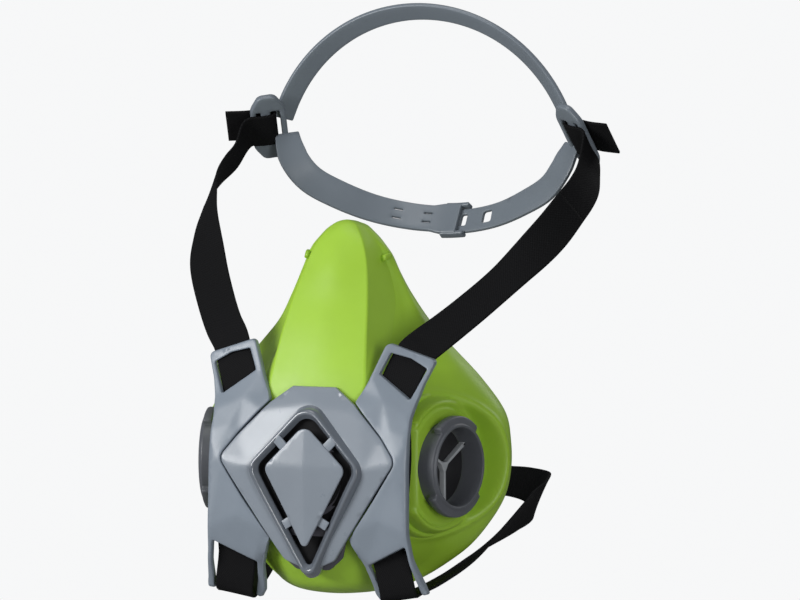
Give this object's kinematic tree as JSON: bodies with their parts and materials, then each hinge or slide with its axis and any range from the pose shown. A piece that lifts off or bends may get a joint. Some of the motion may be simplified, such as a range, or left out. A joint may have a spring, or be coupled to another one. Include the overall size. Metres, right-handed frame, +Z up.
{
  "type": "half-mask respirator",
  "caption": "Reusable half-mask respirator with soft lime facepiece, grey harness frame, kite-shaped exhalation cover, side bayonet ports and webbing head harness.",
  "frame": {"origin": "on the face-seal plane at the cheeks, on the centre line, at the height of the filter ports' axes", "axes": "+X towards the wearer's left, +Y towards the wearer's face (the front of the mask faces -Y), +Z up"},
  "size_m": [0.1616, 0.1463, 0.2198],
  "materials": {
    "face_rubber": "soft satin moulding",
    "frame_plastic": "satin blue-grey",
    "cover_plastic": "semi-gloss blue-grey",
    "housing_plastic": "satin dark grey",
    "port_plastic": "satin dark grey",
    "gasket_rubber": "matt black",
    "valve_rubber": "soft black",
    "webbing": "woven elastic",
    "cradle_plastic": "satin grey",
    "buckle_plastic": "satin grey"
  },
  "bodies": {
    "mask": {"facepiece": "face_rubber", "harness_frame": "frame_plastic", "exhalation_seat": "housing_plastic", "exhalation_retainer": "housing_plastic", "port_left": "port_plastic", "port_right": "port_plastic", "port_spider_left": "port_plastic", "port_spider_right": "port_plastic", "port_nut_left": "port_plastic", "port_nut_right": "port_plastic", "port_gasket_left": "gasket_rubber", "port_gasket_right": "gasket_rubber", "frame_strap_left": "webbing", "frame_strap_right": "webbing"},
    "cover": {"exhalation_cover": "cover_plastic"},
    "exhalation_flap": {"exhalation_valve": "valve_rubber"},
    "inhalation_flap_left": {"inhalation_valve_left": "valve_rubber"},
    "inhalation_flap_right": {"inhalation_valve_right": "valve_rubber"},
    "head_straps": {"upper_strap_left": "webbing", "upper_strap_right": "webbing"},
    "cradle": {"head_cradle": "cradle_plastic", "strap_tail_left": "webbing", "strap_tail_right": "webbing"},
    "neck_straps": {"neck_strap_left": "webbing", "neck_strap_right": "webbing", "neck_eye": "buckle_plastic"},
    "hook": {"neck_hook": "buckle_plastic"}
  },
  "joints": [
    {"name": "cover_release", "type": "slide", "parent": "mask", "child": "cover", "axis": [0, -1, 0], "range_m": [0, 0.02]},
    {"name": "exhalation_lift", "type": "slide", "parent": "mask", "child": "exhalation_flap", "axis": [0, -1, 0], "range_m": [0, 0.0015], "stiffness_N_per_m": 20, "springref_m": -0.0005},
    {"name": "inhalation_lift_left", "type": "slide", "parent": "mask", "child": "inhalation_flap_left", "axis": [-0.9744, 0.225, 0], "range_m": [0, 0.0012], "stiffness_N_per_m": 20, "springref_m": -0.0005},
    {"name": "inhalation_lift_right", "type": "slide", "parent": "mask", "child": "inhalation_flap_right", "axis": [0.9744, 0.225, 0], "range_m": [0, 0.0012], "stiffness_N_per_m": 20, "springref_m": -0.0005},
    {"name": "head_strap_swing", "type": "hinge", "parent": "mask", "child": "head_straps", "pos_m": [0, -0.0371, 0.0465], "axis": [1, 0, 0], "range_deg": [-15, 60]},
    {"name": "cradle_tilt", "type": "hinge", "parent": "head_straps", "child": "cradle", "pos_m": [0, 0.055, 0.115], "axis": [1, 0, 0], "range_deg": [-25, 25]},
    {"name": "neck_strap_swing", "type": "hinge", "parent": "mask", "child": "neck_straps", "pos_m": [0, -0.0422, -0.049], "axis": [1, 0, 0], "range_deg": [-60, 0]},
    {"name": "neck_hook_open", "type": "hinge", "parent": "neck_straps", "child": "hook", "pos_m": [-0.0195, 0.0766, -0.014], "axis": [0, 0.7507, 0.6606], "range_deg": [0, 40]}
  ]
}
